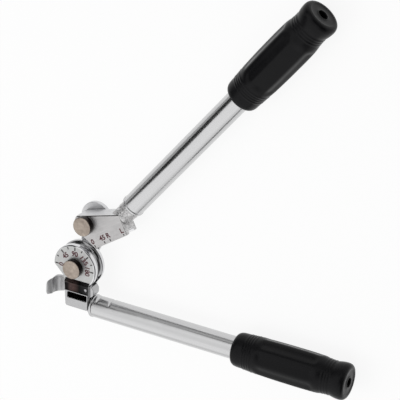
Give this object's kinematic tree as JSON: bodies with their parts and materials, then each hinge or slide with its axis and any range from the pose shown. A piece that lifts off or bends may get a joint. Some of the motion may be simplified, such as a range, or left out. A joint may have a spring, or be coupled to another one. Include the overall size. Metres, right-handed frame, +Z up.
{
  "type": "lever tube bender",
  "caption": "Hand lever tube bender with two gripped handles, a grooved round former with a degree scale, a grooved shoe on a link, and a hook latch for the tube.",
  "frame": {"origin": "on the axis of the main pin, at the end of the pin that rests on the bench", "axes": "+Z up out of the bench, through the scale face; +X along the lower handle from the head to its grip; +Y across, towards the upper handle"},
  "size_m": [0.3203, 0.3629, 0.0366],
  "materials": {
    "satin_chrome": "satin chrome plate on drawn steel tube",
    "polished_chrome": "polished chrome plate on castings",
    "satin_casting": "satin plated casting with a brushed scale face",
    "pin_steel": "turned steel with a warm oiled tint",
    "plain_steel": "plain stamped steel",
    "black_grip": "moulded black grip with a soft sheen"
  },
  "bodies": {
    "lower_handle": {"lower_tube": "satin_chrome", "lower_grip": "black_grip", "handle_head": "polished_chrome", "former_wheel": "satin_casting", "former_dowel_1": "plain_steel", "former_dowel_2": "plain_steel", "main_pin": "pin_steel", "main_thrust_washer": "plain_steel", "main_washer": "plain_steel", "main_snap_ring": "plain_steel", "latch_pin": "pin_steel"},
    "link": {"link_plate": "satin_casting", "shoe_pin": "pin_steel", "shoe_thrust_washer": "plain_steel", "shoe_washer": "plain_steel", "shoe_snap_ring": "plain_steel"},
    "upper_handle": {"shoe": "satin_casting", "upper_tube": "satin_chrome", "upper_grip": "black_grip"},
    "latch": {"latch": "polished_chrome"}
  },
  "joints": [
    {"name": "link_swing", "type": "hinge", "parent": "lower_handle", "child": "link", "pos_m": [0, 0, 0.0183], "axis": [0, 0, 1], "range_deg": [-10, 102.3]},
    {"name": "shoe_pivot", "type": "hinge", "parent": "link", "child": "upper_handle", "pos_m": [0.01048, 0.04807, 0.0183], "axis": [0, 0, 1], "range_deg": [-46.7, 26]},
    {"name": "latch_swing", "type": "hinge", "parent": "lower_handle", "child": "latch", "pos_m": [-0.0127, -0.028, 0.0109], "axis": [0, -1, 0], "range_deg": [0, 38]}
  ]
}
